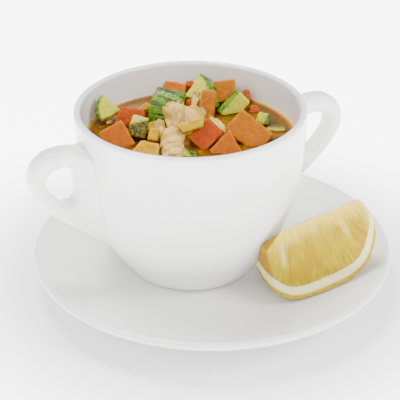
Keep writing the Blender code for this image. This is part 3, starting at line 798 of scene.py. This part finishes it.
def make_vegetables():
    squash = orange_flesh(
        "squash_flesh", (0.43, 0.106, 0.0), (0.39, 0.082, 0.0), (0.46, 0.155, 0.0), (0.60, 0.29, 0.0)
    )
    golden = orange_flesh(
        "squash_golden_flesh", (0.43, 0.130, 0.0), (0.39, 0.104, 0.0), (0.46, 0.185, 0.0), (0.60, 0.33, 0.0)
    )
    carrot = orange_flesh(
        "carrot_flesh", (0.42, 0.060, 0.0), (0.34, 0.036, 0.0), (0.45, 0.10, 0.0), (0.56, 0.19, 0.0)
    )
    pale = orange_flesh(
        "squash_pale_flesh", (0.60, 0.33, 0.0), (0.50, 0.20, 0.0), (0.70, 0.48, 0.03), (0.82, 0.64, 0.12), 1.0
    )
    pepper = orange_flesh(
        "pepper_flesh", (0.54, 0.355, 0.0), (0.44, 0.24, 0.0), (0.60, 0.44, 0.0), (0.72, 0.58, 0.01), 1.0
    )
    green = courgette("courgette_flesh", (0.020, 0.062, 0.001), (0.13, 0.245, 0.003), (0.46, 0.43, 0.0))
    # a lighter copy of the courgette finish, as painted highlight for the glare on the wedge and the top piece
    light = courgette("courgette_light_flesh", (0.035, 0.105, 0.001), (0.20, 0.33, 0.01), (0.66, 0.67, 0.06))
    sunk = courgette(
        "courgette_sunk_flesh",
        (0.09, 0.10, 0.002),
        (0.19, 0.18, 0.004),
        (0.40, 0.30, 0.01),
        (0.46, 0.39, 0.03),
    )
    olive = courgette("celery_flesh", (0.050, 0.036, 0.001), (0.17, 0.125, 0.003), (0.74, 0.54, 0.16))
    onion = soft_layer("onion_flesh", (0.86, 0.56, 0.15), (0.91, 0.69, 0.30), (0.74, 0.40, 0.06))
    tones = {"squash_front": pale, "carrot_stick": golden, "squash_right": golden, "squash_back": golden}
    made = []
    for poses, finish, slot in (
        (SQUASH_POSES, squash, "squash"),
        (CARROT_POSES, carrot, "carrot"),
        (PEPPER_POSES, pepper, "pepper"),
    ):
        for node, pose in poses.items():
            tone = tones.get(node, finish)
            made.append(dress(node, tone, placed(*pose)))
    for node, pose in WEDGE_POSES.items():
        radius = WEDGE_RADIUS[node]

        def skin(own, radius=radius):
            return smoothstep(-0.0024, -0.0001, np.hypot(own[:, 0], own[:, 1]) - radius)

        # the wedge and the top piece take the lighter copy: painted highlight
        finish = light if node in ("courgette_wedge", "courgette_top") else green
        made.append(dress(node, finish, placed(*pose), skin=skin))
    for node, (pose, side, span) in BIT_POSES.items():

        def skin(own, side=side, span=span):
            along = own @ (np.array(side) / np.linalg.norm(side))
            along = (along - along.min()) / np.ptp(along)
            return smoothstep(*span, along)

        finish = {"celery_left": olive, "courgette_float": sunk}.get(node, green)
        made.append(dress(node, finish, placed(*pose), skin=skin, rough=1.6))
    for node in PETALS:
        made.append(make_onion(node, onion))
    stock = orange_flesh(
        "stock_brown", (0.20, 0.085, 0.002), (0.12, 0.046, 0.001), (0.30, 0.14, 0.004), (0.36, 0.18, 0.01)
    )
    kinds = {"onion": (onion, "onion"), "stock": (stock, "broth")}
    for name, (pixel, height, size, heading, kind) in BITS.items():
        made.append(make_bit(name, pixel, height, size, heading, *kinds[kind]))
    return made


# Broth


# pieces that end just above the broth, so that it rises to meet them
RAISED = ("courgette_slice_left", "courgette_top")
# how far the broth looks for them, between which heights over it the rise fades out,
# how far it goes into them, and how wide it spreads
RAISED_SEARCH = 0.004
RAISED_FADE = (0.0014, 0.0022)
RAISED_OVERLAP = 0.00015
RAISED_SPREAD = 0.0008


def tree_of(pieces):
    corners, faces = [], []
    for piece in pieces:
        first = len(corners)
        corners += [v.co.copy() for v in piece.data.vertices]
        faces += [[first + i for i in face.vertices] for face in piece.data.polygons]
    return BVHTree.FromPolygons(corners, faces)


def make_broth(vegetables, finish):
    """The broth up to its level: it climbs a little at the wall, round what sticks out and to RAISED."""
    floor = CUP_BASE + CUP_FLOOR + GAP
    side = [floor + 0.004 + (BROTH_TOP - floor - 0.004) * (i / 16) ** 1.5 for i in range(17)]
    side = [(cup_radius(z) - CUP_WALL - GAP, z) for z in side]
    edge = side[-1][0]
    profile = [(edge * i / 110, BROTH_TOP) for i in range(110)] + side[::-1]
    profile += [(side[0][0] - 0.0018, floor + 0.0017), (side[0][0] - 0.0060, floor), (0, floor)]
    mesh = turned(profile, BROTH_STEPS)
    points = points_of(mesh)
    top = points[:, 2] > BROTH_TOP - 1e-6
    reach = np.hypot(points[:, 0], points[:, 1])
    points[:, :2] += (CUP_X, CUP_Y)
    tree = tree_of(vegetables)
    raised = tree_of([piece for piece in vegetables if piece.name.startswith(RAISED)])
    away = np.full(len(points), BROTH_SEARCH)
    meet = np.zeros(len(points))
    for i in np.nonzero(top)[0]:
        away[i] = tree.find_nearest(Vector(points[i]), BROTH_SEARCH)[3] or BROTH_SEARCH
        spot = raised.find_nearest(Vector(points[i]), RAISED_SEARCH)[0]
        if spot is not None:
            gap = spot.z - BROTH_TOP
            beside = math.hypot(spot.x - points[i, 0], spot.y - points[i, 1])
            reached = 1 - smoothstep(*RAISED_FADE, np.array([gap]))[0]
            meet[i] = (gap + RAISED_OVERLAP) * reached * math.exp(-((beside / RAISED_SPREAD) ** 2))
    wall = np.exp(-(edge - reach) / BROTH_CLIMB_REACH) * top
    climb = np.exp(-away / BROTH_CLIMB_REACH) * top
    points[:, 2] += BROTH_WALL_CLIMB * wall * (reach < edge - 1e-5) + np.maximum(BROTH_CLIMB * climb, meet)
    set_points(mesh, points)
    paint_place(mesh, points)
    # edge: the painted highlight along the wall
    paint_value(mesh, "edge", np.clip(1.4 * np.exp(-(edge - reach) / BROTH_HIGHLIGHT_REACH), 0, 1) * top)
    # painted shade: a band just inside the wall, and round the pieces that stick out
    band = 0.6 * np.exp(-(((edge - reach - BROTH_SHADE_BAND) / BROTH_SHADE_BAND_WIDTH) ** 2))
    paint_value(mesh, "shaded", np.maximum(0.9 * np.exp(-away / BROTH_SHADE_REACH), band) * top)
    return shown(mesh, "broth_filled", finish, ["broth"])


# Lemon


# bright streaks on the cut faces: angle in the fan, inner and outer reach in millimetres,
# and half width in degrees
LEMON_STREAKS = [
    (-11.6, 4.0, 20.0, 0.85),
    (-5.5, 2.0, 10.0, 0.7),
    (2.1, 1.5, 9.0, 0.9),
    (13.4, 5.0, 18.0, 0.8),
]
# deeper coloured parts in metres: along the core, away from it, and their half widths both ways
LEMON_DEEP = [
    (0.0215, 0.0140, 0.0045, 0.0090),
    (-0.0040, 0.0150, 0.0040, 0.0050),
    (-0.0120, 0.0215, 0.0080, 0.0035),
]
# how far behind the core the fan of juice sacs starts
LEMON_FAN = 0.060
# arc length in metres of one radian of that fan
LEMON_FAN_ARC = 0.073
LEMON_RIND_DEPTH = 0.0108


def make_lemon(finish):
    lying = Matrix.Rotation(math.radians(LEMON_HEADING), 4, "Z")
    lying = lying @ Matrix.Rotation(math.radians(90 - LEMON_RISE), 4, "Y")
    lying = Matrix.Translation(LEMON_AT) @ lying @ Matrix.Rotation(math.radians(LEMON_TURN), 4, "Z")
    mesh = remesh(NODES["lemon_wedge"].data.copy(), LEMON_VOXEL, 2)
    points = points_of(mesh)
    own = own_points(points, lying)
    reach = np.hypot(own[:, 0], own[:, 1])
    along = own[:, 2]
    share = np.clip(np.abs(along) / LEMON_HALF_LENGTH, 0, 0.999)
    blunt = np.where(along > 0, LEMON_BOXINESS, LEMON_END_BOXINESS)
    rind = LEMON_RADIUS * np.sqrt(1 - share ** (2 / blunt))
    slope = np.clip((share - 0.55) / 0.45, 0, 1)
    end_cut = along + LEMON_CUT + LEMON_CUT_SLANT * own[:, 0]
    core_cut = along + LEMON_CORE_CUT + LEMON_CORE_SLANT * own[:, 0]
    end = np.minimum(end_cut, core_cut)
    on_end = 1 - smoothstep(0.0003, 0.0012, end)
    depth = 1 - np.clip((rind - reach) * (1 - 0.55 * slope) / LEMON_RIND_DEPTH, 0, 1)
    turn = np.arctan2(own[:, 1], own[:, 0])
    fan = np.degrees(np.arctan2(along + 0.002, reach + LEMON_FAN))
    far = np.hypot(along + 0.002, reach + LEMON_FAN)
    paint_place(mesh, own)
    paint_place(mesh, np.stack([np.radians(fan) * LEMON_FAN_ARC, far, turn * 0.02], 1), "spoke")
    paint_value(mesh, "depth", depth)
    paint_value(mesh, "end", on_end)
    deep = 0
    for a, r, wide, high in LEMON_DEEP:
        deep = deep + np.exp(-(((along - a) / wide) ** 2) - ((reach - r) / high) ** 2)
    paint_value(mesh, "deep", deep)
    tip = smoothstep(0.0235, 0.0285, along) * (1 - smoothstep(0.010, 0.016, reach))
    streaks = np.exp(-((reach / 0.0016) ** 2)) + tip
    for angle, inner, outer, width in LEMON_STREAKS:
        span = smoothstep(inner / 1000 - 0.002, inner / 1000 + 0.003, reach)
        span *= 1 - smoothstep(outer / 1000 - 0.008, outer / 1000, reach)
        streaks += 0.9 * span * np.exp(-(((fan - angle) / width) ** 2))
    paint_value(mesh, "membrane", np.clip(streaks, 0, 1) * (1 - 0.7 * on_end))
    paint_value(mesh, "pale", np.exp(-((reach / 0.0095) ** 2)) * (1 - on_end))
    sacs = np.stack([np.radians(fan) * LEMON_FAN_ARC, far * 0.16, turn * 0.03], 1)
    pulp = 1 - smoothstep(0.36, 0.44, depth)
    uneven = 0.00022 * lumps(sacs, 0.0019, 7, 30) * pulp + 0.00008 * lumps(own, 0.0050, 8)
    uneven -= 0.00016 * pulp
    uneven += (depth > 0.9) * (0.00007 * lumps(own, 0.0016, 9, 30) + 0.00012 * lumps(own, 0.0040, 10, 30))
    set_points(mesh, points + normals_of(mesh) * np.minimum(uneven, 0.00012)[:, None])
    return shown(mesh, "lemon_cut", finish, ["lemon_wedge"])


# Stage


def light(name, place, target, size, energy):
    lamp = bpy.data.lights.new(name, "AREA")
    lamp.shape = "RECTANGLE"
    lamp.size, lamp.size_y = size
    lamp.energy = energy
    made = link(bpy.data.objects.new(name, lamp))
    made.location = place
    made.rotation_mode = "QUATERNION"
    made.rotation_quaternion = (Vector(target) - Vector(place)).to_track_quat("-Z", "Y")


def make_stage():
    floor = bpy.data.meshes.new("floor")
    half = 3.0
    corners = [(-half, -half, 0), (half, -half, 0), (half, half, 0), (-half, half, 0)]
    floor.from_pydata(corners, [], [(0, 1, 2, 3)])
    paint = Paint("floor_white", Roughness=0.6, Emission_Color=(1, 1, 1, 1))
    where = paint.node("ShaderNodeTexCoord").outputs["Object"]
    # the floor glows though it is no lamp, brightest away from the saucer; its glow is dimmed near the saucer
    # as a painted soft shadow
    distance = paint.node("ShaderNodeVectorMath", Vector=where)
    distance.operation = "LENGTH"
    bright = paint.node("ShaderNodeMapRange", Value=distance.outputs["Value"])
    bright.interpolation_type = "SMOOTHSTEP"
    for slot, value in (("From Min", 0.070), ("From Max", 0.17), ("To Min", 0.3), ("To Max", 6.0)):
        bright.inputs[slot].default_value = value
    paint.tree.links.new(bright.outputs[0], paint.shader.inputs["Emission Strength"])
    color = paint.ramp(paint.noise(0.3, where), (0.3, (0.87, 0.87, 0.875)), (0.7, (0.89, 0.89, 0.89)))
    floor.materials.append(paint.finish(color))
    link(bpy.data.objects.new("floor", floor))

    world = bpy.data.worlds.new("studio")
    world.use_nodes = True
    world.node_tree.nodes["Background"].inputs["Color"].default_value = (1.0, 1.0, 1.0, 1)
    world.node_tree.nodes["Background"].inputs["Strength"].default_value = 0.50
    bpy.context.scene.world = world
    light("key", (-0.22, 0.26, 0.92), (0, 0, 0.03), (0.3, 0.3), 10)
    light("right", (0.74, -0.30, 0.74), (0, 0, 0.06), (0.4, 0.4), 9)
    light("left", (-0.70, -0.40, 0.72), (0, 0, 0.06), (0.6, 0.6), 5)
    light("front", (0.10, -1.0, 0.58), (0, 0, 0.06), (0.6, 0.4), 5)

    lens = bpy.data.cameras.new("camera")
    lens.lens = LENS
    lens.sensor_width = SENSOR
    lens.clip_start = 0.01
    camera = link(bpy.data.objects.new("camera", lens))
    camera.matrix_world = camera_pose()
    bpy.context.scene.camera = camera


make_stage()
glaze = porcelain()
make_saucer(glaze)
make_cup(glaze)
vegetables = make_vegetables()
make_broth(vegetables, broth_paint())
make_lemon(lemon_paint())

bpy.context.view_layer.update()
